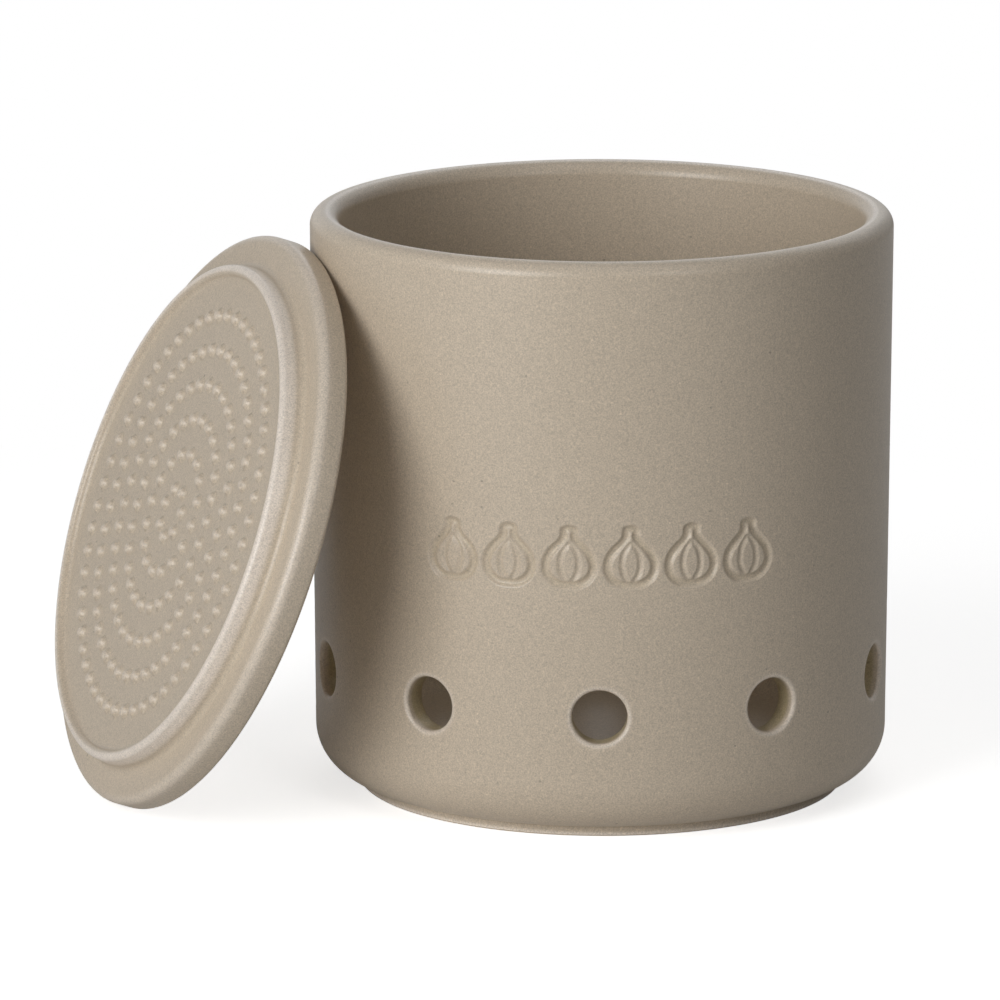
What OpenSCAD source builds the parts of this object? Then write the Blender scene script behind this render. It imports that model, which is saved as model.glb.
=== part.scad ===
// Garlic keeper: a vented stoneware pot, and a loose lid whose underside is a grater.
// Millimetres, +Z up. The origin is on the pot's axis, on the plane that its foot ring stands on.
// One vent faces -Y. The lid is drawn leaning on the pot, or seated on it.

/* [Pot] */
// Outside diameter of the pot at its rim
pot_d = 120; // [114:1:130]
// Height of the pot, from the table to the top of its rim
pot_h = 120; // [110:1:140]
// Thickness of the wall at the rim, which is rounded over all of it
wall_t = 6; // [5:0.5:7]
// How far the outside draws in on each side, from the rim to the base
draw_in = 0.8; // [0:0.1:2]
// How far the hollow draws in on each side, from the mouth to its floor
hollow_in = 0.2; // [0:0.1:1.5]
// Radius of the outside corner between wall and base
base_r = 10.2; // [7:0.2:12]
// Radius of the inside corner between wall and floor
floor_r = 7; // [4:0.5:9]
// Thickness of the floor
floor_t = 6; // [5:0.5:8]

/* [Foot ring] */
// How far the foot ring stands out past the start of the base's corner
foot_out = 1.2; // [0:0.2:2]
// Width of the foot ring
foot_w = 4.2; // [3:0.2:6]
// How far the base's corner stands off the table
foot_h = 2.1; // [1.5:0.1:3]
// Depth of the recess inside the foot ring
foot_recess = 2; // [1.5:0.1:3]
// Radius of the foot ring's two lower edges
foot_edge = 0.5; // [0.3:0.1:0.8]

/* [Vents] */
// Number of vents round the pot
vent_count = 10; // [4:1:12]
// Diameter of a vent
vent_d = 11.2; // [8:0.2:14]
// Height of the vents' centres
vent_z = 27; // [24:1:34]
// Radius of the soft edges where a vent meets the outside and the hollow
vent_edge = 0.8; // [0.4:0.1:1]

/* [Lid] */
// How far the lid reaches past the pot's rim
lid_past = 0.4; // [0:0.1:2]
// Thickness of the lid at its flange
lid_t = 6.2; // [5:0.2:8]
// Radius of the flange's lower edge
lid_low_r = 1.6; // [1:0.1:2]
// Radius of the flange's upper edge
lid_top_r = 1; // [0.6:0.1:2]
// Play between the locating ring and the pot's mouth
ring_play = 1.3; // [0.8:0.1:2]
// How far the locating ring's crest stands below the flange
ring_h = 4.7; // [4:0.1:6]
// Radius of the ring's rounded crest, and of the cove inside it
ring_r = 1.2; // [1:0.1:1.4]
// Radius of the cove between the ring and the flange
cove_r = 1.5; // [1:0.1:2]
// Depth of the grater's floor below the ring's crest
recess = 1.6; // [1.3:0.1:2.2]

/* [Grater teeth] */
// Rings of teeth
tooth_rings = 6; // [3:1:6]
// Radius of the innermost ring of teeth
first_ring = 5.2; // [4.5:0.1:6]
// Distance from one ring of teeth to the next
ring_step = 7.35; // [6:0.05:7.4]
// Distance between neighbouring teeth, along their ring
tooth_step = 4.85; // [4.4:0.05:6]
// Width of a tooth at its foot
tooth_w = 2.8; // [2:0.1:3]
// Width of a tooth's blunt tip
tooth_tip = 0.5; // [0.3:0.1:0.8]
// Height of a tooth
tooth_h = 1.1; // [0.8:0.1:1.2]

/* [Lid's place] */
// Leaning on the pot as stored open, or seated on its rim
lid_place = "leaning"; // [leaning, seated]
// How far the leaning lid tips back from upright, in degrees
lean = 19.8; // [14:0.2:26]
// Direction that the leaning lid's top face looks in, in degrees from +X towards +Y
heading = 21.6; // [0:0.2:60]
// How far the lid leans to one side of the pot's axis
lean_aside = 14.3; // [0:0.1:16]

/* [Hidden] */

// space kept between the lid and the pot, leaning or seated, and under the leaning lid
gap = 0.3;
// room for cuts to run past a surface
over = 1;
// how far a tooth's sides run on into the lid
tooth_root = 0.4;
// fineness of the round parts
$fn = 96;

// the pot's outside
pot_r = pot_d / 2;
rim_r = wall_t / 2;
rim_z = pot_h - rim_r;
base_wall_r = pot_r - draw_in;
base_x = base_wall_r - base_r;
base_z = foot_h + base_r;
foot_in = base_x + foot_out - foot_w;

// the pot's hollow
floor_z = foot_recess + floor_t;
mouth_r = pot_r - wall_t;
hollow_r = mouth_r - hollow_in;
hollow_x = hollow_r - floor_r;
hollow_z = floor_z + floor_r;
vent_start = hollow_r - wall_t;
flare_r = vent_d / 2 + vent_edge;
// how far inside the hollow's wall a vent's inner edge starts to open
flare_lead = 0.1;
// where that edge starts, at the vent's sides, where the hollow's wall is nearest to the axis
flare_in = sqrt(pow(inside_r(vent_z), 2) - pow(flare_r, 2)) - flare_lead;

// the lid, drawn with its flange's lower face on z = 0
lid_r = pot_r + lid_past;
ring_wall_r = mouth_r - ring_play;
crest_x = ring_wall_r - ring_r;
crest_z = ring_r - ring_h;
grater_z = recess - ring_h;
// the cove inside the ring touches the grater's floor and the crest
cove_z = grater_z - ring_r;
cove_x = crest_x - sqrt(pow(2 * ring_r, 2) - pow(crest_z - cove_z, 2));

// centre line of the flange's rounded upper edge, on which the leaning lid stands
edge_r = lid_r - lid_top_r;
edge_z = lid_t - lid_top_r;
lean_z = edge_r * cos(lean) + edge_z * sin(lean) + lid_top_r + gap;

// Radius of the pot's outside at a height
function wall_r(z) = pot_r - draw_in * (rim_z - z) / (rim_z - base_z);

// Radius of the hollow at a height
function inside_r(z) = mouth_r - hollow_in * (rim_z - z) / (rim_z - hollow_z);

// Gap between the pot and one place on the leaning lid's upper edge, with the lid's centre `reach` out
function edge_gap(reach, turn) =
    norm([reach + edge_r * cos(turn) * sin(lean) - edge_z * cos(lean),
          lean_aside + edge_r * sin(turn)])
    - wall_r(lean_z - edge_r * cos(turn) * cos(lean) - edge_z * sin(lean)) - lid_top_r;

// The reach at which the smallest such gap is the one wanted, closed in on by halving
function reach_between(near, far, tries) =
    let (middle = (near + far) / 2,
         smallest = min([for (turn = [0 : 2 : 358]) edge_gap(middle, turn)]))
    tries == 0 ? middle
    : smallest > gap ? reach_between(near, middle, tries - 1)
    : reach_between(middle, far, tries - 1);

lean_reach = reach_between(pot_r, 2 * pot_r, 24);

// Half of the pot's outline without its hollow, solid from the axis outwards
module pot_outside() {
    polygon([[0, foot_recess], [base_x, foot_h], [base_wall_r, base_z], [pot_r, rim_z], [0, rim_z]]);
    translate([base_x, base_z])
        circle(r = base_r);
    translate([foot_in, foot_edge])
        square([foot_w, base_z - foot_edge]);
    translate([foot_in + foot_edge, 0])
        square([foot_w - 2 * foot_edge, base_z]);
    for (x = [foot_in + foot_edge, foot_in + foot_w - foot_edge])
        translate([x, foot_edge])
            circle(r = foot_edge);
}

// Half of the hollow's outline, and of the recess inside the foot ring
module pot_hollow() {
    polygon([[0, floor_z], [hollow_x, floor_z], [hollow_r, hollow_z], [mouth_r, rim_z],
             [mouth_r, pot_h], [0, pot_h]]);
    translate([hollow_x, hollow_z])
        circle(r = floor_r);
    translate([0, -over])
        square([foot_in, foot_recess + over]);
}

// What a vent's soft edge takes from the wall, opening upwards to z = 0
module vent_flare() {
    rotate_extrude()
        difference() {
            translate([0, -vent_edge])
                square([flare_r, vent_edge + over]);
            translate([flare_r, -vent_edge])
                circle(r = vent_edge);
        }
}

// One vent through the wall, along +X, with soft edges
module vent() {
    translate([vent_start, 0, vent_z])
        rotate([0, 90, 0])
            cylinder(d = vent_d, h = pot_r - vent_start + over);
    translate([wall_r(vent_z), 0, vent_z])
        rotate([0, 90, 0])
            vent_flare();
    translate([flare_in, 0, vent_z])
        rotate([0, -90, 0])
            vent_flare();
}

// The vessel: wall, floor, rim and foot ring in one, with its ring of vents
module pot() {
    color([0.69, 0.64, 0.56])
        difference() {
            rotate_extrude() {
                difference() {
                    pot_outside();
                    pot_hollow();
                }
                translate([pot_r - rim_r, rim_z])
                    circle(r = rim_r);
            }
            for (i = [0 : vent_count - 1])
                rotate(360 / vent_count * i - 90)
                    vent();
        }
}

// Half of the lid's outline: a flange with soft edges, and the locating ring under it
module lid_outline() {
    polygon([[0, 0], [lid_r - lid_low_r, 0], [lid_r, lid_low_r], [lid_r, edge_z],
             [edge_r, lid_t], [0, lid_t]]);
    translate([lid_r - lid_low_r, lid_low_r])
        circle(r = lid_low_r);
    translate([edge_r, edge_z])
        circle(r = lid_top_r);
    translate([0, grater_z])
        square([cove_x, -grater_z]);
    translate([crest_x, crest_z])
        circle(r = ring_r);
    difference() {
        polygon([[cove_x, 0], [cove_x, cove_z], [crest_x, crest_z], [ring_wall_r, crest_z],
                 [ring_wall_r, -cove_r], [ring_wall_r + cove_r, -cove_r], [ring_wall_r + cove_r, 0]]);
        translate([cove_x, cove_z])
            circle(r = ring_r);
        translate([ring_wall_r + cove_r, -cove_r])
            circle(r = cove_r);
    }
}

// A tooth pointing down from z = 0: a blunt four-sided point, the part that two wedges share
module tooth() {
    slope = (tooth_w - tooth_tip) / 2 / tooth_h;
    root = tooth_w / 2 + slope * tooth_root;
    intersection_for (turn = [0, 90])
        rotate([90, 0, turn])
            linear_extrude(height = 2 * root, center = true)
                polygon([[-root, tooth_root], [root, tooth_root],
                         [tooth_tip / 2, -tooth_h], [-tooth_tip / 2, -tooth_h]]);
}

// The grater: rings of evenly spaced teeth, with every other ring turned corner on
module grater() {
    for (k = [0 : tooth_rings - 1]) {
        r = first_ring + ring_step * k;
        count = round(2 * PI * r / tooth_step);
        for (i = [0 : count - 1])
            rotate(360 / count * i)
                translate([r, 0, grater_z])
                    rotate(k % 2 == 0 ? 0 : 45)
                        tooth();
    }
}

// The lid, flange down on z = 0
module lid_form() {
    rotate_extrude()
        lid_outline();
    grater();
}

// The lid in its place
module lid() {
    color([0.71, 0.66, 0.58])
        if (lid_place == "seated")
            translate([0, 0, pot_h + gap])
                lid_form();
        else
            rotate(heading)
                translate([-lean_reach, lean_aside, lean_z])
                    rotate([0, 90 + lean, 0])
                        lid_form();
}

pot();
lid();
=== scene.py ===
import math
import bpy
import numpy as np
from mathutils import Matrix


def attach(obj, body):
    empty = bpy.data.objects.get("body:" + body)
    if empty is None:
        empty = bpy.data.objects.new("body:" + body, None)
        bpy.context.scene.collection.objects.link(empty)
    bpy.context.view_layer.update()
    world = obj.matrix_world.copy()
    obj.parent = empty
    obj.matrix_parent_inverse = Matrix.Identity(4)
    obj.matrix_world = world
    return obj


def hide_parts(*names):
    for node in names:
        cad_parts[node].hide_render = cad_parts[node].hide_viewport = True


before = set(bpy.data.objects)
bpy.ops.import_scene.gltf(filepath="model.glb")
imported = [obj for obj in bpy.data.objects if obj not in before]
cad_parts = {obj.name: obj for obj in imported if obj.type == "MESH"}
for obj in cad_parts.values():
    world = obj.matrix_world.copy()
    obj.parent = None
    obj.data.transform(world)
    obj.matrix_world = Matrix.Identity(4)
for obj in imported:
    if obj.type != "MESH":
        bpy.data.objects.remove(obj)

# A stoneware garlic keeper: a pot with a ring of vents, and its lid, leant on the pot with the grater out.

scene = bpy.context.scene
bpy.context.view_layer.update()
mm = 0.001              # shapes are worked out in mm, and their meshes are in metres
weldGap = 0.004 * mm    # points closer than this are one


def stage(text):
    print("garlic keeper:", text, flush=True)


# outlines are rows of points (distance from the axis, height), and angles are in degrees

def arc(centre, radius, first, last, steps):
    turn = np.radians(np.linspace(first, last, steps + 1))
    return np.column_stack([centre[0] + radius * np.cos(turn), centre[1] + radius * np.sin(turn)])


def line(start, end, steps):
    share = np.linspace(0, 1, steps + 1)[:, None]
    return np.array(start, float) * (1 - share) + np.array(end, float) * share


def chain(*runs):
    # runs of outline points joined end to end, with the shared points kept once
    out = [runs[0]]
    for run in runs[1:]:
        out.append(run[1:] if np.allclose(run[0], out[-1][-1], atol=1e-3) else run)
    return np.vstack(out)


def turned(outline, angles):
    # an outline turned to each angle: one row of points in space for each point of the outline
    turn = np.radians(angles)
    return [np.column_stack([r * np.cos(turn), r * np.sin(turn), np.full(len(turn), z)]) for r, z in outline]


def smoothStep(low, high, value):
    share = np.clip((value - low) / (high - low), 0, 1)
    return share * share * (3 - 2 * share)


def fade(full, none, value):
    # 1 up to the first value, and 0 from the second on
    return 1 - smoothStep(full, none, value)


class Sheet:
    # gathers points and faces, then makes one mesh
    def __init__(self):
        self.points, self.faces, self.count = [], [], 0

    def add(self, points, faces):
        self.points.append(np.asarray(points, float))
        self.faces += [tuple(i + self.count for i in face) for face in faces]
        self.count += len(points)

    def rings(self, rings, closed=True):
        # rows of equal length, joined by quads
        wide = len(rings[0])
        steps = wide if closed else wide - 1
        faces = [(i * wide + j, i * wide + (j + 1) % wide,
                  (i + 1) * wide + (j + 1) % wide, (i + 1) * wide + j)
                 for i in range(len(rings) - 1) for j in range(steps)]
        self.add(np.vstack(rings), faces)

    def fan(self, ring, tip, inward=True):
        # closes a ring to one point
        wide = len(ring)
        faces = [(j, (j + 1) % wide, wide) if inward else ((j + 1) % wide, j, wide) for j in range(wide)]
        self.add(np.vstack([ring, [tip]]), faces)

    def make(self, name):
        mesh = bpy.data.meshes.new(name)
        mesh.from_pydata((np.vstack(self.points) * mm).tolist(), [], self.faces)
        mesh.update()
        thing = bpy.data.objects.new(name, mesh)
        scene.collection.objects.link(thing)
        return thing


def places(mesh):
    # where a mesh's points are, and how far they are from the Z axis
    co = np.empty(len(mesh.vertices) * 3)
    mesh.vertices.foreach_get("co", co)
    co = co.reshape(-1, 3) / mm
    return co, np.hypot(co[:, 0], co[:, 1])


def weighed(strengths, shares):
    # how thick the glaze is at each point, with painted highlights and shade, from its share in each named
    # place and that place's strength
    return sum(strengths[name] * share for name, share in shares.items())


def storeGlazeAndLight(thing, values):
    layer = thing.data.attributes.new("edge", "FLOAT", "POINT")
    layer.data.foreach_set("value", np.asarray(values, np.float32))


def plainMesh(host, name):
    # the evaluated result as one plain mesh, seams welded, object at the origin
    graph = bpy.context.evaluated_depsgraph_get()
    mesh = bpy.data.meshes.new_from_object(host.evaluated_get(graph))
    bpy.data.objects.remove(host)
    made = bpy.data.objects.new(name, mesh)
    scene.collection.objects.link(made)
    weld = made.modifiers.new("weld", "WELD")
    weld.merge_threshold = weldGap
    graph = bpy.context.evaluated_depsgraph_get()
    welded = bpy.data.meshes.new_from_object(made.evaluated_get(graph))
    made.modifiers.clear()
    made.data = welded
    welded.name = name
    welded.polygons.foreach_set("use_smooth", np.ones(len(welded.polygons), bool))
    return made


def addNode(tree, kind, **settings):
    made = tree.nodes.new(kind)
    for key, value in settings.items():
        setattr(made, key, value)
    return made


def feed(tree, source, target):
    # a node's first output, a socket or a plain value goes to an input
    if isinstance(source, bpy.types.Node):
        source = source.outputs[0]
    if isinstance(source, bpy.types.NodeSocket):
        tree.links.new(source, target)
    else:
        target.default_value = source


def sums(tree, how, first, second=0.0):
    made = addNode(tree, "ShaderNodeMath", operation=how)
    feed(tree, first, made.inputs[0])
    feed(tree, second, made.inputs[1])
    return made.outputs[0]


def bend(tree, value, low, high, toLow=0.0, toHigh=1.0):
    # a soft step: toLow up to the value low, and toHigh from the value high on
    made = addNode(tree, "ShaderNodeMapRange", interpolation_type="SMOOTHSTEP")
    for slot, item in enumerate((value, low, high, toLow, toHigh)):
        feed(tree, item, made.inputs[slot])
    return made.outputs[0]


def blendColours(tree, share, first, second, how="MIX"):
    # a Mix node has its colours' sockets after those for numbers and vectors
    made = addNode(tree, "ShaderNodeMix", data_type="RGBA", blend_type=how)
    feed(tree, share, made.inputs[0])
    feed(tree, first, made.inputs[6])
    feed(tree, second, made.inputs[7])
    return made.outputs[2]


def newGroup(name, kind, inputs, outputs):
    # a node group with named inputs and outputs, and the two nodes that hold them
    tree = bpy.data.node_groups.new(name, kind)
    for way, sockets in (("INPUT", inputs), ("OUTPUT", outputs)):
        for title, holds in sockets.items():
            tree.interface.new_socket(name=title, in_out=way, socket_type="NodeSocket" + holds)
    return tree, addNode(tree, "NodeGroupInput"), addNode(tree, "NodeGroupOutput")


def repeated(tree, shape, count, turn, place=None):
    # an object set on each of a number of points, turned about Z
    points = addNode(tree, "GeometryNodePoints")
    feed(tree, count, points.inputs["Count"])
    if place is not None:
        feed(tree, place, points.inputs["Position"])
    looked = addNode(tree, "GeometryNodeObjectInfo")
    feed(tree, shape, looked.inputs["Object"])
    aim = addNode(tree, "ShaderNodeCombineXYZ")
    feed(tree, turn, aim.inputs["Z"])
    rotation = addNode(tree, "FunctionNodeEulerToRotation")
    feed(tree, aim, rotation.inputs[0])
    placed = addNode(tree, "GeometryNodeInstanceOnPoints")
    feed(tree, points, placed.inputs["Points"])
    feed(tree, looked.outputs["Geometry"], placed.inputs["Instance"])
    feed(tree, rotation, placed.inputs["Rotation"])
    return placed


def realise(tree, joined, material, result):
    # real geometry in one material, as the tree's output
    real = addNode(tree, "GeometryNodeRealizeInstances")
    feed(tree, joined, real.inputs[0])
    painted = addNode(tree, "GeometryNodeSetMaterial")
    feed(tree, real, painted.inputs["Geometry"])
    feed(tree, material, painted.inputs["Material"])
    feed(tree, painted, result.inputs[0])


def growOn(host, name, tree, values):
    # the tree as the object's modifier, its inputs set by their sockets' identifiers
    maker = host.modifiers.new(name, "NODES")
    maker.node_group = tree
    identifiers = {s.name: s.identifier for s in tree.interface.items_tree if s.in_out == "INPUT"}
    for title, value in values.items():
        maker[identifiers[title]] = value


# the glaze, shared by the pot and the lid: speckled satin stoneware

glazeLook = {
    # colours are linear, scales are per metre and sizes are in metres
    "tone": (0.618, 0.524, 0.409, 1),       # as fired
    "thinGlazeAndHighlightTint": (1.42, 1.50, 1.68, 1),      # multiplies the tone where the glaze is thin, and where highlights are painted in
    "pooledGlazeAndShadeTint": (0.78, 0.76, 0.60, 1),    # and where shade is painted in, or the glaze has pooled
    "grain": 0.19, "grainSize": 0.00030,
    "grainGain": 5.0,                       # how much stronger the fine grain is than the coarse
    "coarseScale": 1300.0,
    "mottle": 0.05, "mottleScale": 28.0,    # slow changes of tone over the piece
    # specks: their strength, then their cells' scale, the largest radius in a cell, and the share that shows
    "darkSpecks": 0.30, "darkCells": (330.0, 0.10, 0.30),
    "paleSpecks": 0.22, "paleCells": (520.0, 0.13, 0.35),
    "speckLeast": 0.02,                     # added to every radius
    "speckFade": (0.5, 1.2),                # a speck's soft edge, as shares of its radius
    "rough": 0.33, "speckRough": 0.2,       # satin, and rougher on the dark specks
    "ior": 1.5,
    "bump": 0.25, "bumpHeight": 0.00004,    # uneven surface: strength and height
    "bumpCoarse": 0.6, "bumpWave": 2.4, "bumpWaveScale": 160.0,
    "clay": (0.60, 0.50, 0.39, 1),          # unglazed, under the foot ring
    "clayTop": (0.00015, 0.0004),           # the glaze starts between these heights
    "clayRough": 0.4,                       # how much rougher than the glaze
}


def speckleGroup(look):
    tree, given, result = newGroup(
        "glazeSpeckle", "ShaderNodeTree",
        {"Tone": "Color", "Grain": "Float", "Grain size": "Float", "Dark specks": "Float",
         "Pale specks": "Float", "Mottle": "Float"},
        {"Colour": "Color", "Speck": "Float", "Relief": "Float"})
    spot = addNode(tree, "ShaderNodeTexCoord").outputs["Object"]

    def noise(scale, detail):
        made = addNode(tree, "ShaderNodeTexNoise")
        feed(tree, spot, made.inputs["Vector"])
        feed(tree, scale, made.inputs["Scale"])
        feed(tree, detail, made.inputs["Detail"])
        return made.outputs[0]

    def specks(scale, radius, share):
        # round specks: a cell shows one only if its random value is below the share
        cells = addNode(tree, "ShaderNodeTexVoronoi")
        feed(tree, spot, cells.inputs["Vector"])
        feed(tree, scale, cells.inputs["Scale"])
        chance = addNode(tree, "ShaderNodeSeparateColor")
        feed(tree, cells.outputs["Color"], chance.inputs[0])
        size = sums(tree, "MULTIPLY", chance.outputs[1], radius)
        away = sums(tree, "DIVIDE", cells.outputs["Distance"], sums(tree, "ADD", size, look["speckLeast"]))
        dot = bend(tree, away, *look["speckFade"], 1.0, 0.0)
        shown = sums(tree, "LESS_THAN", chance.outputs[0], share)
        return sums(tree, "MULTIPLY", dot, shown)

    def swing(value, strength):
        # a noise as a change to both sides, as strong as the named input says
        return sums(tree, "MULTIPLY", sums(tree, "SUBTRACT", value, 0.5), given.outputs[strength])

    grain = noise(sums(tree, "DIVIDE", 1.0, given.outputs["Grain size"]), detail=3.0)
    coarse = noise(look["coarseScale"], detail=1.0)
    cloud = noise(look["mottleScale"], detail=3.0)
    dark = specks(*look["darkCells"])
    pale = specks(*look["paleCells"])
    level = sums(tree, "MULTIPLY", swing(grain, "Grain"), look["grainGain"])
    level = sums(tree, "ADD", level, swing(coarse, "Grain"))
    level = sums(tree, "ADD", level, swing(cloud, "Mottle"))
    level = sums(tree, "ADD", level, sums(tree, "MULTIPLY", pale, given.outputs["Pale specks"]))
    level = sums(tree, "SUBTRACT", level, sums(tree, "MULTIPLY", dark, given.outputs["Dark specks"]))
    level = sums(tree, "ADD", level, 1.0)
    tint = addNode(tree, "ShaderNodeVectorMath", operation="SCALE")
    feed(tree, given.outputs["Tone"], tint.inputs[0])
    feed(tree, level, tint.inputs["Scale"])
    pits = sums(tree, "MULTIPLY", coarse, look["bumpCoarse"])
    wave = sums(tree, "MULTIPLY", noise(look["bumpWaveScale"], detail=2.0), look["bumpWave"])
    feed(tree, tint, result.inputs["Colour"])
    feed(tree, dark, result.inputs["Speck"])
    feed(tree, sums(tree, "ADD", pits, wave), result.inputs["Relief"])
    return tree


def glazeAndLightGroup():
    # paler where the glaze thins on raised edges and where highlights are painted in, darker where shade is
    # painted into hollows and where glaze pools: the stored edge value moves the colour
    tree, given, result = newGroup(
        "glazeAndPaintedLight", "ShaderNodeTree",
        {"Colour": "Color", "Glaze and light": "Float", "Thin glaze and highlight tint": "Color", "Pooled glaze and shade tint": "Color"},
        {"Colour": "Color"})
    colour = given.outputs["Colour"]
    for title, whole in (("Thin glaze and highlight tint", 1.0), ("Pooled glaze and shade tint", -1.0)):
        share = bend(tree, given.outputs["Glaze and light"], 0.0, whole)
        colour = blendColours(tree, share, colour, given.outputs[title], "MULTIPLY")
    feed(tree, colour, result.inputs["Colour"])
    return tree


speckleTree = speckleGroup(glazeLook)
glazeAndLightTree = glazeAndLightGroup()


def glaze(name, look, footRing=False):
    made = bpy.data.materials.new(name)
    made.use_nodes = True
    tree = made.node_tree
    shader = tree.nodes["Principled BSDF"]
    speckle = addNode(tree, "ShaderNodeGroup", node_tree=speckleTree)
    for key, title in (("tone", "Tone"), ("grain", "Grain"), ("grainSize", "Grain size"),
                       ("darkSpecks", "Dark specks"), ("paleSpecks", "Pale specks"), ("mottle", "Mottle")):
        speckle.inputs[title].default_value = look[key]
    glazeAndLightNode = addNode(tree, "ShaderNodeGroup", node_tree=glazeAndLightTree)
    feed(tree, speckle.outputs["Colour"], glazeAndLightNode.inputs["Colour"])
    # the stored value: paler for thin glaze and painted highlights, darker for painted shade and pooled glaze
    edge = addNode(tree, "ShaderNodeAttribute", attribute_name="edge")
    feed(tree, edge.outputs["Fac"], glazeAndLightNode.inputs["Glaze and light"])
    glazeAndLightNode.inputs["Thin glaze and highlight tint"].default_value = look["thinGlazeAndHighlightTint"]
    glazeAndLightNode.inputs["Pooled glaze and shade tint"].default_value = look["pooledGlazeAndShadeTint"]
    colour = glazeAndLightNode.outputs["Colour"]
    rough = sums(tree, "MULTIPLY", speckle.outputs["Speck"], look["speckRough"])
    rough = sums(tree, "ADD", rough, look["rough"])
    if footRing:
        # bare fired clay under the foot ring
        height = addNode(tree, "ShaderNodeSeparateXYZ")
        feed(tree, addNode(tree, "ShaderNodeTexCoord").outputs["Object"], height.inputs[0])
        bare = bend(tree, height.outputs[2], *look["clayTop"], 1.0, 0.0)
        colour = blendColours(tree, bare, colour, look["clay"])
        rough = sums(tree, "ADD", rough, sums(tree, "MULTIPLY", bare, look["clayRough"]))
    feed(tree, colour, shader.inputs["Base Color"])
    shader.inputs["Base Color"].default_value = look["tone"]
    feed(tree, rough, shader.inputs["Roughness"])
    shader.inputs["Roughness"].default_value = look["rough"]
    shader.inputs["IOR"].default_value = look["ior"]
    bump = addNode(tree, "ShaderNodeBump")
    bump.inputs["Strength"].default_value = look["bump"]
    bump.inputs["Distance"].default_value = look["bumpHeight"]
    feed(tree, speckle.outputs["Relief"], bump.inputs["Height"])
    feed(tree, bump, shader.inputs["Normal"])
    return made


potGlaze = glaze("potGlaze", glazeLook, footRing=True)
lidGlaze = glaze("lidGlaze", glazeLook)
stage("glazes mixed")


pot = {
    "rimRadius": 60.0, "height": 120.0, "rimRound": 3.0,    # outside, and its rounded rim
    "baseRadius": 59.2,                                     # the wall draws in to this
    "cornerRound": 10.2, "cornerCentre": (49.0, 12.3),      # between wall and base
    "footIn": 46.0, "footOut": 50.2, "footEdge": 0.5,       # the foot ring
    "creaseRound": 0.6,                                     # between foot ring and base
    "recess": 2.0, "recessRound": 1.0,                      # inside the foot ring
    "mouthRadius": 54.0, "hollowRadius": 53.8,              # the hollow, at its mouth and near its floor
    "floorZ": 8.0, "floorRound": 7.0,
    "columns": 360, "middle": 6,                            # points round it, and its smallest ring's radius
    "vents": 10, "ventRadius": 5.6, "ventZ": 27.0,
    "ventSoft": 0.75, "ventSoftIn": 0.75,                   # rounds of their edges, outside and inside
    "ventBand": (15.0, 39.0),                               # heights of the wall that is made with them
    "reliefs": 6, "reliefStep": 12.0, "reliefDepth": 0.62,  # debossed bulbs, a step in degrees apart
    "reliefBand": (50.0, 70.0),
}
rimZ = pot["height"] - pot["rimRound"]
cornerZ = pot["cornerCentre"][1]
hollowZ = pot["floorZ"] + pot["floorRound"]


def outerR(z):
    # the wall's outside
    return pot["rimRadius"] - (pot["rimRadius"] - pot["baseRadius"]) * (rimZ - z) / (rimZ - cornerZ)


def innerR(z):
    # the hollow
    return pot["hollowRadius"] + (pot["mouthRadius"] - pot["hollowRadius"]) * (z - hollowZ) / (rimZ - hollowZ)


def onWall(angle, z, radius):
    turn = np.radians(angle)
    return np.column_stack([radius * np.cos(turn), radius * np.sin(turn), z])


def wallLine(radius, low, high, steps):
    z = np.linspace(low, high, steps + 1)
    return np.column_stack([radius(z), z])


def border(halfAngle, low, high, columns):
    # angles and heights once round a wall patch, from its lower left corner, as seen from outside
    rows = int(high - low)
    side = np.linspace(-halfAngle, halfAngle, columns + 1)
    rise = np.linspace(low, high, rows + 1)
    angle = np.concatenate([side[:-1], np.full(rows, halfAngle), side[::-1][:-1], np.full(rows, -halfAngle)])
    z = np.concatenate([np.full(columns, low), rise[:-1], np.full(columns, high), rise[::-1][:-1]])
    return angle, z


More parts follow.
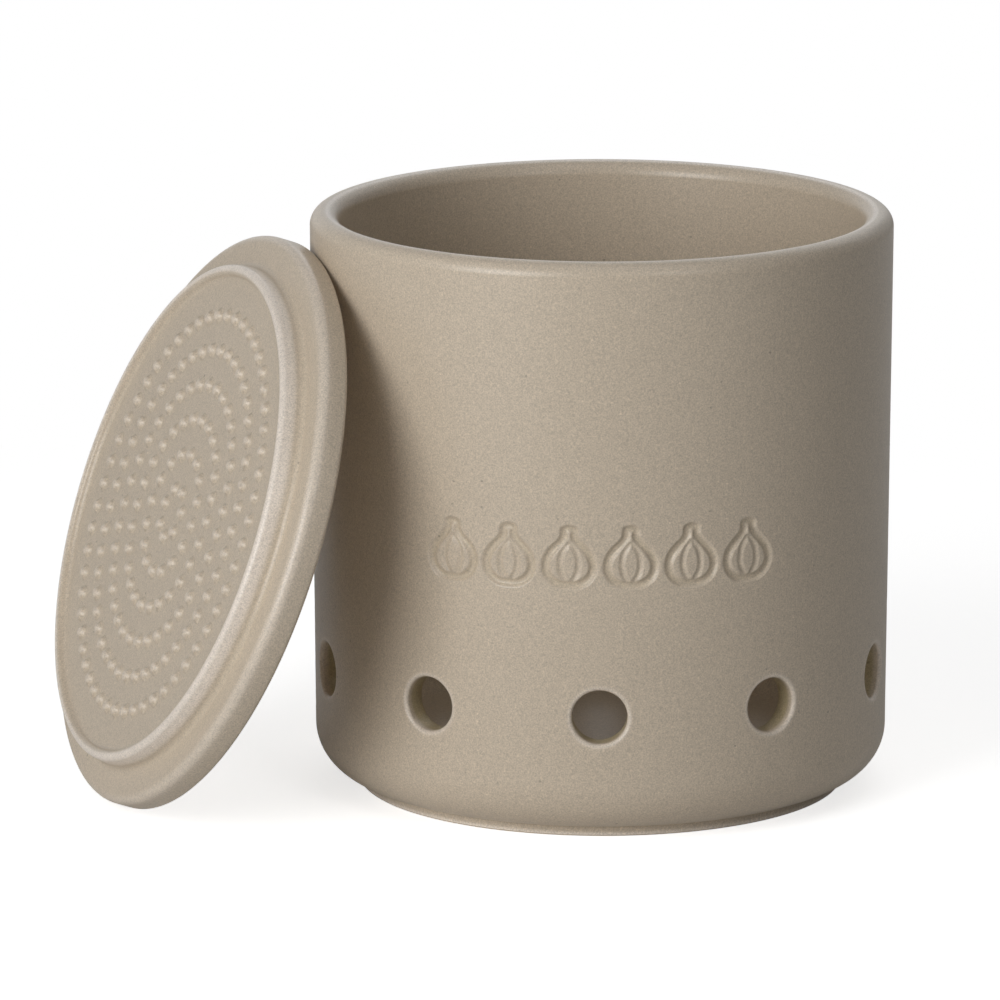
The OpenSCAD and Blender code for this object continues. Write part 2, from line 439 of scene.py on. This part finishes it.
def ventSector():
    # one vent and its share of the wall's two faces, on +X: rings from the outer border in through the bore
    share = 180.0 / pot["vents"]
    angle, z = border(share, *pot["ventBand"], int(2 * share))
    phi = np.arctan2(z - pot["ventZ"], np.radians(angle) * outerR(pot["ventZ"]))
    across = -np.column_stack([np.zeros_like(phi), np.cos(phi), np.sin(phi)])
    softSteps = 6
    outerShares = (0, 0.25, 0.5, 0.72, 0.87, 0.96)      # how far each ring is from the border to the vent
    innerShares = (0.93, 0.75, 0.5, 0.25, 0)
    boreShares = (0.33, 0.67)

    def soft(radius, wall, side):
        # a ball of this radius rolled round the edge between wall and bore
        y = (pot["ventRadius"] + radius) * np.cos(phi)
        height = pot["ventZ"] + (pot["ventRadius"] + radius) * np.sin(phi)
        reach = wall(height) - side * radius
        centre = np.column_stack([np.sqrt(reach ** 2 - y ** 2), y, height])
        toWall = side * np.column_stack([centre[:, 0], y, np.zeros_like(y)]) / reach[:, None]
        return centre, toWall

    def swept(centre, start, end, radius):
        full = np.arccos(np.clip((start * end).sum(1), -1, 1))[:, None]
        return [centre + radius * (np.sin((1 - t) * full) * start + np.sin(t * full) * end) / np.sin(full)
                for t in np.linspace(0, 1, softSteps + 1)]

    def toBorder(ring, wall, shares):
        edgeAngle = np.degrees(np.arctan2(ring[:, 1], ring[:, 0]))
        out = []
        for t in shares:
            height = z * (1 - t) + ring[:, 2] * t
            out.append(onWall(angle * (1 - t) + edgeAngle * t, height, wall(height)))
        return out

    centre, toWall = soft(pot["ventSoft"], outerR, 1)
    outerEdge = swept(centre, toWall, across, pot["ventSoft"])
    centre, toWall = soft(pot["ventSoftIn"], innerR, -1)
    innerEdge = swept(centre, across, toWall, pot["ventSoftIn"])
    bore = [outerEdge[-1] * (1 - t) + innerEdge[0] * t for t in boreShares]
    sheet = Sheet()
    sheet.rings(toBorder(outerEdge[0], outerR, outerShares) + outerEdge + bore + innerEdge
                + toBorder(innerEdge[-1], innerR, innerShares))
    return sheet


bulb = {
    # points up the right side of a garlic bulb and its neck, in mm from its middle
    "side": ((0.0, -5.6), (2.3, -5.35), (4.1, -4.0), (4.8, -1.9), (4.3, 0.2), (3.0, 1.9), (1.75, 3.1),
             (1.0, 4.4), (0.95, 5.6), (0.0, 5.9)),
    # and down the seam between two cloves
    "seam": ((0.25, 2.9), (1.3, 1.4), (1.85, -0.8), (1.65, -3.0), (0.6, -5.0)),
    "steps": 12,                                    # points from one of these to the next
    "line": (0.25, 1.15), "seamLine": (0.1, 0.85),  # half widths of the grooves, at full depth and at none
    "seamDepth": 0.6,                               # a seam's depth, as a share of the outline's
    "columns": 48, "rows": 80, "inset": 0.92,       # the fine grid, and the share of its tile that it fills
}


def smoothCurve(points, steps):
    # a rounded line through the points
    points = np.array(points, float)
    around = np.vstack([2 * points[0] - points[1], points, 2 * points[-1] - points[-2]])
    t = np.linspace(0, 1, steps, endpoint=False)[:, None]
    out = [0.5 * (2 * b + (c - a) * t + (2 * a - 5 * b + 4 * c - d) * t ** 2
                  + (3 * b - a - 3 * c + d) * t ** 3)
           for a, b, c, d in zip(around, around[1:], around[2:], around[3:])]
    return np.vstack(out + [points[-1:]])


def bothSides(curve):
    return np.vstack([curve, curve * (-1, 1)])


def reliefTile():
    # a patch of wall with one debossed garlic bulb, on +X: a fine grid inside the wall's coarser border
    low, high = pot["reliefBand"]
    half = pot["reliefStep"] / 2
    middle = (low + high) / 2
    outline = bothSides(smoothCurve(bulb["side"], bulb["steps"]))
    seams = bothSides(smoothCurve(bulb["seam"], bulb["steps"]))

    def fromLine(spot, points):
        return np.sqrt(((spot[:, None, :] - points[None]) ** 2).sum(2).min(1))

    def pressed(angle, z):
        spot = np.column_stack([np.radians(angle) * outerR(middle), z - middle])
        groove = fade(*bulb["line"], fromLine(spot, outline))
        seam = bulb["seamDepth"] * fade(*bulb["seamLine"], fromLine(spot, seams))
        return pot["reliefDepth"] * np.maximum(groove, seam)

    columns, rows, inset = bulb["columns"], bulb["rows"], bulb["inset"]
    angle, z = border(half, low, high, int(pot["reliefStep"]))
    coarse = len(angle)
    grid = np.meshgrid(np.linspace(-half, half, columns + 1) * inset,
                       middle + (np.linspace(low, high, rows + 1) - middle) * inset)
    fineAngle, fineZ = grid[0].ravel(), grid[1].ravel()
    points = np.vstack([onWall(angle, z, outerR(z)),
                        onWall(fineAngle, fineZ, outerR(fineZ) - pressed(fineAngle, fineZ))])
    number = coarse + np.arange(len(fineAngle)).reshape(rows + 1, columns + 1)
    faces = [(number[r, c], number[r, c + 1], number[r + 1, c + 1], number[r + 1, c])
             for r in range(rows) for c in range(columns)]
    # the grid's outer points, shared out over the border's steps
    edge = np.concatenate([number[0, :-1], number[:-1, -1], number[-1, :0:-1], number[:0:-1, 0]])
    share = len(edge) // coarse
    faces += [(j, (j + 1) % coarse) + tuple(edge[(share * (j + 1) - k) % len(edge)] for k in range(share + 1))
              for j in range(coarse)]
    sheet = Sheet()
    sheet.add(points, faces)
    return sheet


def potShell():
    # everything turned on the wheel: all of the pot but the vents' band and the relief's tiles
    angles = np.arange(pot["columns"]) * 360.0 / pot["columns"]
    ventLow, ventHigh = pot["ventBand"]
    reliefLow, reliefHigh = pot["reliefBand"]
    footIn, footOut, edge = pot["footIn"], pot["footOut"], pot["footEdge"]
    recess, recessRound, floorRound = pot["recess"], pot["recessRound"], pot["floorRound"]
    # a concave round joins the foot ring to the base's corner
    crease, corner = pot["creaseRound"], pot["cornerCentre"]
    creaseX = footOut + crease
    creaseZ = corner[1] - math.sqrt((pot["cornerRound"] + crease) ** 2 - (creaseX - corner[0]) ** 2)
    cornerStart = math.degrees(math.atan2(creaseZ - corner[1], creaseX - corner[0]))
    lower = chain(
        line((pot["middle"], recess), (footIn - recessRound, recess), 4),
        arc((footIn - recessRound, recess - recessRound), recessRound, 90, 0, 4),
        line((footIn, recess - recessRound), (footIn, edge), 1),
        arc((footIn + edge, edge), edge, 180, 270, 4),
        line((footIn + edge, 0), (footOut - edge, 0), 2),
        arc((footOut - edge, edge), edge, 270, 360, 4),
        line((footOut, edge), (footOut, creaseZ), 2),
        arc((creaseX, creaseZ), crease, 180, 180 + cornerStart, 5),
        arc(corner, pot["cornerRound"], cornerStart, 0, 18),
        wallLine(outerR, cornerZ, ventLow, 1))
    upper = chain(
        wallLine(outerR, reliefHigh, rimZ, 12),
        arc((pot["rimRadius"] - pot["rimRound"], rimZ), pot["rimRound"], 0, 180, 22),
        wallLine(innerR, rimZ, ventHigh, 8))
    inside = chain(
        arc((pot["hollowRadius"] - floorRound, hollowZ), floorRound, 0, -90, 12),
        line((pot["hollowRadius"] - floorRound, pot["floorZ"]), (pot["middle"], pot["floorZ"]), 5))
    sheet = Sheet()
    below = turned(lower, angles)
    sheet.rings(below)
    sheet.fan(below[0], (0, 0, recess), inward=False)
    sheet.rings(turned(wallLine(outerR, ventHigh, reliefLow, 2), angles))
    sheet.rings(turned(upper, angles))
    floor = turned(inside, angles)
    sheet.rings(floor)
    sheet.fan(floor[-1], (0, 0, pot["floorZ"]))
    # the plain part of the relief's band, its rows as high as the tiles' own
    half = pot["reliefs"] * pot["reliefStep"] / 2
    plain = np.arange(-90 + half, 270 - half + 0.5, 360.0 / pot["columns"])
    plainWall = wallLine(outerR, reliefLow, reliefHigh, int(reliefHigh - reliefLow))
    sheet.rings(turned(plainWall, plain), closed=False)
    return sheet


def repeatTree():
    # vents evenly round the pot, and the relief's tiles side by side on the front
    tree, given, result = newGroup(
        "potRepeats", "GeometryNodeTree",
        {"Geometry": "Geometry", "Vent": "Object", "Vents": "Int", "Relief": "Object", "Reliefs": "Int",
         "Relief step": "Float", "Glaze": "Material"},
        {"Geometry": "Geometry"})
    joined = addNode(tree, "GeometryNodeJoinGeometry")
    feed(tree, given.outputs["Geometry"], joined.inputs[0])
    index = addNode(tree, "GeometryNodeInputIndex").outputs[0]
    ventTurn = sums(tree, "MULTIPLY", index, sums(tree, "DIVIDE", math.tau, given.outputs["Vents"]))
    lastRelief = sums(tree, "SUBTRACT", given.outputs["Reliefs"], 1.0)
    fromMiddle = sums(tree, "SUBTRACT", index, sums(tree, "DIVIDE", lastRelief, 2.0))
    reliefTurn = sums(tree, "MULTIPLY", fromMiddle, given.outputs["Relief step"])
    for shape, count, turn in (("Vent", "Vents", ventTurn), ("Relief", "Reliefs", reliefTurn)):
        fromFront = sums(tree, "ADD", turn, math.radians(-90))
        feed(tree, repeated(tree, given.outputs[shape], given.outputs[count], fromFront), joined.inputs[0])
    realise(tree, joined, given.outputs["Glaze"], result)
    return tree


def wallNormals(mesh):
    # true normals where the wall is plain, so that patches of unlike size shade as one surface
    co, far = places(mesh)
    normals = np.array([v.vector for v in mesh.vertex_normals])
    z = co[:, 2]
    onIt, past = 2e-4, 0.01     # mm off the true wall, and past its ends, that still count as on it
    for wall, side, low in ((outerR, 1, cornerZ), (innerR, -1, hollowZ)):
        plain = (np.abs(far - wall(z)) < onIt) & (z > low - past) & (z < rimZ + past)
        slope = wall(1.0) - wall(0.0)
        true = np.column_stack([co[:, 0] / np.maximum(far, 1), co[:, 1] / np.maximum(far, 1),
                                np.full(len(z), -slope)])
        true *= side / math.sqrt(1 + slope * slope)
        normals[plain] = true[plain]
    return normals


potGlazeAndLight = {
    # glaze and painted light: above 0 where it is paler from thin glaze and painted highlights, below 0 where
    # it is darker from painted shade and pooled glaze, and the mm between which each place starts or ends
    "rim": 0.15, "rimFade": (117.5, 119.0),                                     # thin glaze with a painted sheen on the rim's top, by height
    "innerRim": 0.7, "innerRimAt": (56.3, 119.9), "innerRimFade": (0.2, 0.9),   # painted highlight: the reflection along the rim's inner edge, by distance from a line round the rim
    "foot": 0.8, "footFade": (0.5, 1.3), "footFrom": (49.4, 49.9),              # painted light thrown up from the table, with paler glaze, at the foot's lower edge; by height and radius
    # a vent's lip, paler from thin glaze and a painted highlight, and its bore, darkened by painted shade; by
    # distance from its bore and by radius from the pot's axis
    "lip": 0.45, "lipAt": 0.3, "lipFade": (0.3, 1.1), "lipFrom": (57.5, 58.6),
    "bore": -0.9, "boreFade": (0.05, 0.6), "boreFrom": (53.4, 54.0), "boreTo": (57.8, 58.8),
    "crease": -0.05, "creaseZ": 2.1, "creaseFade": (0.2, 1.2),                  # painted shade in the crease between foot ring and base, from a line round the foot
    "relief": -0.3, "reliefFade": (0.1, 0.7), "reliefFrom": 55,                 # painted shade in the bulbs' grooves, with glaze pooled there too, by depth in the wall
}


def potGlazeAndLightValues(mesh):
    co, far = places(mesh)
    z = co[:, 2]
    innerX, innerZ = potGlazeAndLight["innerRimAt"]
    # how far each point is from the nearest vent's bore
    step = math.tau / pot["vents"]
    around = np.arctan2(co[:, 1], co[:, 0]) + math.pi / 2
    off = (around + step / 2) % step - step / 2
    fromVent = np.hypot(far * np.sin(off), z - pot["ventZ"]) - pot["ventRadius"]
    low, high = pot["reliefBand"]
    inBand = (z > low) & (z < high) & (far > potGlazeAndLight["reliefFrom"])
    return weighed(potGlazeAndLight, {
        "rim": smoothStep(*potGlazeAndLight["rimFade"], z),
        "innerRim": fade(*potGlazeAndLight["innerRimFade"], np.hypot(far - innerX, z - innerZ)),
        "foot": fade(*potGlazeAndLight["footFade"], z) * smoothStep(*potGlazeAndLight["footFrom"], far),
        "lip": (fade(*potGlazeAndLight["lipFade"], np.abs(fromVent - potGlazeAndLight["lipAt"]))
                * smoothStep(*potGlazeAndLight["lipFrom"], far)),
        "bore": (fade(*potGlazeAndLight["boreFade"], fromVent) * fade(*potGlazeAndLight["boreTo"], far)
                 * smoothStep(*potGlazeAndLight["boreFrom"], far)),
        "crease": fade(*potGlazeAndLight["creaseFade"], np.hypot(far - pot["footOut"], z - potGlazeAndLight["creaseZ"])),
        "relief": np.where(inBand, smoothStep(*potGlazeAndLight["reliefFade"], outerR(z) - far), 0)})


shell = potShell().make("shell")
vent = ventSector().make("vent")
tile = reliefTile().make("tile")
growOn(shell, "repeats", repeatTree(), {
    "Vent": vent, "Vents": pot["vents"], "Relief": tile, "Reliefs": pot["reliefs"],
    "Relief step": math.radians(pot["reliefStep"]), "Glaze": potGlaze})
stonewarePot = plainMesh(shell, "stonewarePot")
for spare in (vent, tile):
    bpy.data.objects.remove(spare)
stonewarePot.data.normals_split_custom_set_from_vertices(wallNormals(stonewarePot.data).tolist())
storeGlazeAndLight(stonewarePot, potGlazeAndLightValues(stonewarePot.data))
stage("pot made, %d faces" % len(stonewarePot.data.polygons))


lid = {
    # made with its flange's lower face on z = 0 and its grater below, then leant on the pot
    "radius": 60.4, "thick": 6.2, "lowRound": 2.1, "topRound": 1.0,     # the flange
    "crest": (51.5, -3.5), "cove": (49.237, -4.3), "crestRound": 1.2,   # the ring's two rounds
    "ringDraft": 9.0, "outerCove": 1.5,                                 # its outer wall's slope and foot
    "graterZ": -3.1,
    "columns": 300, "middle": 3,                                        # as the pot's
    "toothRings": 6, "firstRing": 5.2, "ringStep": 7.35, "toothStep": 4.85,
    "toothWidth": 2.8, "toothHeight": 1.1,
    # up the tooth: half width, how far its corners reach past its sides, and height, as shares
    "toothShape": ((1.32, 1.08, -0.02), (1.15, 1.08, 0.04), (1.01, 1.07, 0.17), (0.89, 1.05, 0.40),
                   (0.70, 1.02, 0.70), (0.42, 1.00, 0.92)),
    # its place: degrees tipped back and turned, then out from the pot's axis, to one side and up
    "lean": 19.8, "heading": 21.6, "reach": 85.8417, "aside": 14.3, "rise": 58.94975,
}


def lidBody():
    angles = np.arange(lid["columns"]) * 360.0 / lid["columns"]
    crestX, crestZ = lid["crest"]
    crestR, cove, outer = lid["crestRound"], lid["cove"], lid["outerCove"]
    meet = math.degrees(math.atan2(crestZ - cove[1], crestX - cove[0]))
    # the ring's outer wall widens a little towards the flange, as a pressed ring does
    draft = math.radians(lid["ringDraft"])
    wallTop = (crestX + crestR * math.cos(draft), crestZ - crestR * math.sin(draft))
    coveStart = outer * (math.sin(draft) - 1)
    wallFoot = (wallTop[0] + (coveStart - wallTop[1]) * math.tan(draft), coveStart)
    coveX = wallFoot[0] + outer * math.cos(draft)
    low, top, radius, thick = lid["lowRound"], lid["topRound"], lid["radius"], lid["thick"]
    outline = chain(
        line((lid["middle"], lid["graterZ"]), (cove[0], lid["graterZ"]), 8),
        arc(cove, crestR, 90, meet, 6),
        arc((crestX, crestZ), crestR, 180 + meet, 360 - lid["ringDraft"], 16),
        line(wallTop, wallFoot, 3),
        arc((coveX, -outer), outer, 180 - lid["ringDraft"], 90, 8),
        line((coveX, 0), (radius - low, 0), 3),
        arc((radius - low, low), low, -90, 0, 10),
        line((radius, low), (radius, thick - top), 2),
        arc((radius - top, thick - top), top, 0, 90, 8),
        line((radius - top, thick), (lid["middle"], thick), 8))
    rows = turned(outline, angles)
    sheet = Sheet()
    sheet.rings(rows)
    sheet.fan(rows[0], (0, 0, lid["graterZ"]), inward=False)
    sheet.fan(rows[-1], (0, 0, thick))
    return sheet


def tooth():
    # one blunt four-sided tooth pointing down, its foot flared into the floor by the glaze
    half = lid["toothWidth"] / 2
    turn = np.radians(np.arange(8) * 45.0)      # its sides' middles and, between them, its corners
    rings = []
    for size, corner, height in lid["toothShape"]:
        reach = half * size * np.where(np.arange(8) % 2, corner, 1.0)
        rings.append(np.column_stack([reach * np.cos(turn), -reach * np.sin(turn),
                                      np.full(8, -lid["toothHeight"] * height)]))
    sheet = Sheet()
    sheet.rings(rings)
    sheet.fan(rings[-1], (0, 0, -lid["toothHeight"]))
    sheet.add(rings[0], [tuple(range(7, -1, -1))])
    return sheet


def ringTree():
    # one ring of teeth at a radius
    tree, given, result = newGroup(
        "toothRing", "GeometryNodeTree",
        {"Tooth": "Object", "Radius": "Float", "Tooth step": "Float", "Turn": "Float", "Height": "Float"},
        {"Geometry": "Geometry"})
    radius = given.outputs["Radius"]
    length = sums(tree, "MULTIPLY", radius, math.tau)
    count = sums(tree, "ROUND", sums(tree, "DIVIDE", length, given.outputs["Tooth step"]))
    index = addNode(tree, "GeometryNodeInputIndex").outputs[0]
    turn = sums(tree, "MULTIPLY", index, sums(tree, "DIVIDE", math.tau, count))
    where = addNode(tree, "ShaderNodeCombineXYZ")
    feed(tree, sums(tree, "MULTIPLY", sums(tree, "COSINE", turn), radius), where.inputs["X"])
    feed(tree, sums(tree, "MULTIPLY", sums(tree, "SINE", turn), radius), where.inputs["Y"])
    feed(tree, given.outputs["Height"], where.inputs["Z"])
    toothTurn = sums(tree, "ADD", turn, given.outputs["Turn"])
    feed(tree, repeated(tree, given.outputs["Tooth"], count, toothTurn, where), result.inputs[0])
    return tree


def graterTree(ring):
    # rings of teeth under the lid, every other ring turned corner on
    tree, given, result = newGroup(
        "grater", "GeometryNodeTree",
        {"Geometry": "Geometry", "Tooth": "Object", "First ring": "Float", "Ring step": "Float",
         "Tooth step": "Float", "Height": "Float", "Glaze": "Material"},
        {"Geometry": "Geometry"})
    joined = addNode(tree, "GeometryNodeJoinGeometry")
    feed(tree, given.outputs["Geometry"], joined.inputs[0])
    for k in range(lid["toothRings"]):
        one = addNode(tree, "GeometryNodeGroup", node_tree=ring)
        further = sums(tree, "MULTIPLY", given.outputs["Ring step"], float(k))
        feed(tree, sums(tree, "ADD", given.outputs["First ring"], further), one.inputs["Radius"])
        for title in ("Tooth", "Tooth step", "Height"):
            feed(tree, given.outputs[title], one.inputs[title])
        one.inputs["Turn"].default_value = math.radians(45 if k % 2 else 0)
        feed(tree, one, joined.inputs[0])
    realise(tree, joined, given.outputs["Glaze"], result)
    return tree


lidGlazeAndLight = {
    # as the pot's, in the lid's own place before it leans
    # the ring's crest: thin glaze with a painted highlight, fading down its outer wall
    "ring": 0.9, "ringFade": (-2.8, -0.9), "ringFrom": (50.6, 51.5),
    "tips": 0.42, "tipsFade": (0.25, 1.0), "tipsTo": 46,                # thin glaze with painted highlights on the teeth, by how far a tooth stands out
    "brim": 0.4, "brimAt": (59.9, 1.0), "brimFade": (0.5, 2.2),         # the flange's lower edge: thin glaze with a painted highlight
    "valley": -0.2, "valleyRadius": 53.2, "valleyFade": (0.3, 1.6),     # painted shade between ring and flange
}


def lidGlazeAndLightValues(mesh):
    co, far = places(mesh)
    z = co[:, 2]
    brimX, brimZ = lidGlazeAndLight["brimAt"]
    return weighed(lidGlazeAndLight, {
        "ring": fade(*lidGlazeAndLight["ringFade"], z) * smoothStep(*lidGlazeAndLight["ringFrom"], far),
        "tips": np.where(far < lidGlazeAndLight["tipsTo"], smoothStep(*lidGlazeAndLight["tipsFade"], lid["graterZ"] - z), 0),
        "brim": fade(*lidGlazeAndLight["brimFade"], np.hypot(far - brimX, z - brimZ)),
        "valley": fade(*lidGlazeAndLight["valleyFade"], np.hypot(far - lidGlazeAndLight["valleyRadius"], z))})


disc = lidBody().make("disc")
oneTooth = tooth().make("oneTooth")
growOn(disc, "teeth", graterTree(ringTree()), {
    "Tooth": oneTooth, "First ring": lid["firstRing"] * mm, "Ring step": lid["ringStep"] * mm,
    "Tooth step": lid["toothStep"] * mm, "Height": lid["graterZ"] * mm, "Glaze": lidGlaze})
graterLid = plainMesh(disc, "graterLid")
bpy.data.objects.remove(oneTooth)
storeGlazeAndLight(graterLid, lidGlazeAndLightValues(graterLid.data))
leaning = (Matrix.Rotation(math.radians(lid["heading"]), 4, "Z")
           @ Matrix.Translation((-lid["reach"] * mm, lid["aside"] * mm, lid["rise"] * mm))
           @ Matrix.Rotation(math.radians(90 + lid["lean"]), 4, "Y"))
graterLid.data.transform(leaning)
stage("lid made, %d faces" % len(graterLid.data.polygons))

for thing, node in ((stonewarePot, "pot"), (graterLid, "lid")):
    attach(thing, node)
    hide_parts(node)


backdrop = {
    # how white room and table look in the glaze, where 1 is as white as the camera sees them
    "roomMirrored": 0.50, "tableMirrored": 0.05,
    "ambient": 0.03,                                    # the room's own light on the object
    "tableHalf": 6.0,                                   # half of the table's side, in metres
    "tableTone": (0.85, 0.85, 0.85, 1),                 # for the light that it throws back on the object
    "tableSeen": (0.95, 0.95, 0.95, 1),                 # for the camera, which also sees it glow
    "tableGlow": 0.70,
    "shadowShift": (0.03, 0.0, 0.0),                    # moves the middle of the shaded part towards -X
    "shadowEnd": (0.16, 0.34),                          # shade fades out between these distances from it
}


def backdropRays(tree, mirrored):
    # the rays that see the white backdrop: the camera's own, and mirrored ones, but none that light things
    path = addNode(tree, "ShaderNodeLightPath")
    bounced = sums(tree, "MAXIMUM", path.outputs["Is Glossy Ray"], path.outputs["Is Transmission Ray"])
    return sums(tree, "MAXIMUM", path.outputs["Is Camera Ray"], sums(tree, "MULTIPLY", bounced, mirrored))


def blendShaders(tree, share, first, second):
    made = addNode(tree, "ShaderNodeMixShader")
    for slot, item in enumerate((share, first, second)):
        feed(tree, item, made.inputs[slot])
    return made


def tableMaterial():
    # a white table that fades into the white backdrop
    made = bpy.data.materials.new("studioFloor")
    made.use_nodes = True
    tree = made.node_tree
    shader = tree.nodes["Principled BSDF"]
    seen = backdropRays(tree, backdrop["tableMirrored"])
    tone = blendColours(tree, seen, backdrop["tableTone"], backdrop["tableSeen"])
    feed(tree, tone, shader.inputs["Base Color"])
    shader.inputs["Roughness"].default_value = 1.0
    shader.inputs["Specular IOR Level"].default_value = 0.0
    shader.inputs["Emission Color"].default_value = (1, 1, 1, 1)
    feed(tree, sums(tree, "MULTIPLY", seen, backdrop["tableGlow"]), shader.inputs["Emission Strength"])
    shifted = addNode(tree, "ShaderNodeMapping", vector_type="POINT")
    shifted.inputs["Location"].default_value = backdrop["shadowShift"]
    feed(tree, addNode(tree, "ShaderNodeTexCoord").outputs["Object"], shifted.inputs["Vector"])
    away = addNode(tree, "ShaderNodeVectorMath", operation="LENGTH")
    feed(tree, shifted, away.inputs[0])
    past = bend(tree, away.outputs["Value"], *backdrop["shadowEnd"])
    white = addNode(tree, "ShaderNodeEmission")
    surface = blendShaders(tree, sums(tree, "MULTIPLY", past, seen), shader, white)
    feed(tree, surface, tree.nodes["Material Output"].inputs["Surface"])
    return made


def layTable():
    half = backdrop["tableHalf"]
    mesh = bpy.data.meshes.new("studioFloor")
    corners = [(-half, -half, 0), (half, -half, 0), (half, half, 0), (-half, half, 0)]
    mesh.from_pydata(corners, [], [(0, 1, 2, 3)])
    mesh.materials.append(tableMaterial())
    table = bpy.data.objects.new("studioFloor", mesh)
    scene.collection.objects.link(table)


def wrapRoom():
    # white all round, which lights the object only a little
    world = bpy.data.worlds.new("studio")
    scene.world = world
    world.use_nodes = True
    tree = world.node_tree
    tree.nodes.clear()
    ambient = addNode(tree, "ShaderNodeBackground")
    white = addNode(tree, "ShaderNodeBackground")
    for part, strength in ((ambient, backdrop["ambient"]), (white, 1.0)):
        part.inputs["Color"].default_value = (1, 1, 1, 1)
        part.inputs["Strength"].default_value = strength
    surface = blendShaders(tree, backdropRays(tree, backdrop["roomMirrored"]), ambient, white)
    feed(tree, surface, addNode(tree, "ShaderNodeOutputWorld").inputs["Surface"])


lampTarget = (0, 0, 0.06)   # the pot's middle, in metres
lamps = {
    # degrees from +X, degrees above the table, distance and size in metres, and power in watts
    "key": (-130, 17, 1.5, (0.78, 0.85), 10.5),
    "wing": (-136, 25, 1.65, (1.7, 1.3), 3.8),
    "top": (-60, 72, 1.5, (0.8, 0.8), 1.35),
    "fill": (-60, 28, 1.5, (0.46, 0.4), 1.7),
    "back": (98, 15, 1.5, (1.3, 0.9), 1.5),
    "rear": (70, 42, 1.6, (1.5, 1.1), 4.0),
}


def softBox(name, azimuth, height, away, size, power):
    # an area lamp aimed at the target
    lamp = bpy.data.lights.new(name, "AREA")
    lamp.shape = "RECTANGLE"
    lamp.size, lamp.size_y = size
    lamp.energy = power
    turn, lift = math.radians(azimuth), math.radians(height)
    aim = np.array([math.cos(turn) * math.cos(lift), math.sin(turn) * math.cos(lift), math.sin(lift)])
    thing = bpy.data.objects.new(name, lamp)
    thing.location = aim * away + np.array(lampTarget)
    thing.rotation_euler = (math.radians(90 - height), 0, turn + math.radians(90))
    scene.collection.objects.link(thing)


view = {
    "lens": 306.0, "sensor": 36.0,
    "place": (0.00398, -1.71785, 0.44263),      # in metres
    "down": 12.599, "left": 0.83,               # degrees that it looks down and to the left of +Y
}


def setCamera():
    lens = bpy.data.cameras.new("camera")
    lens.lens = view["lens"]
    lens.sensor_width = view["sensor"]
    camera = bpy.data.objects.new("camera", lens)
    camera.location = view["place"]
    camera.rotation_euler = (math.radians(90 - view["down"]), 0, math.radians(view["left"]))
    scene.collection.objects.link(camera)
    scene.camera = camera


layTable()
for name, values in lamps.items():
    softBox(name, *values)
wrapRoom()
setCamera()
scene.view_settings.view_transform = "Standard"
stage("set ready")

bpy.context.view_layer.update()
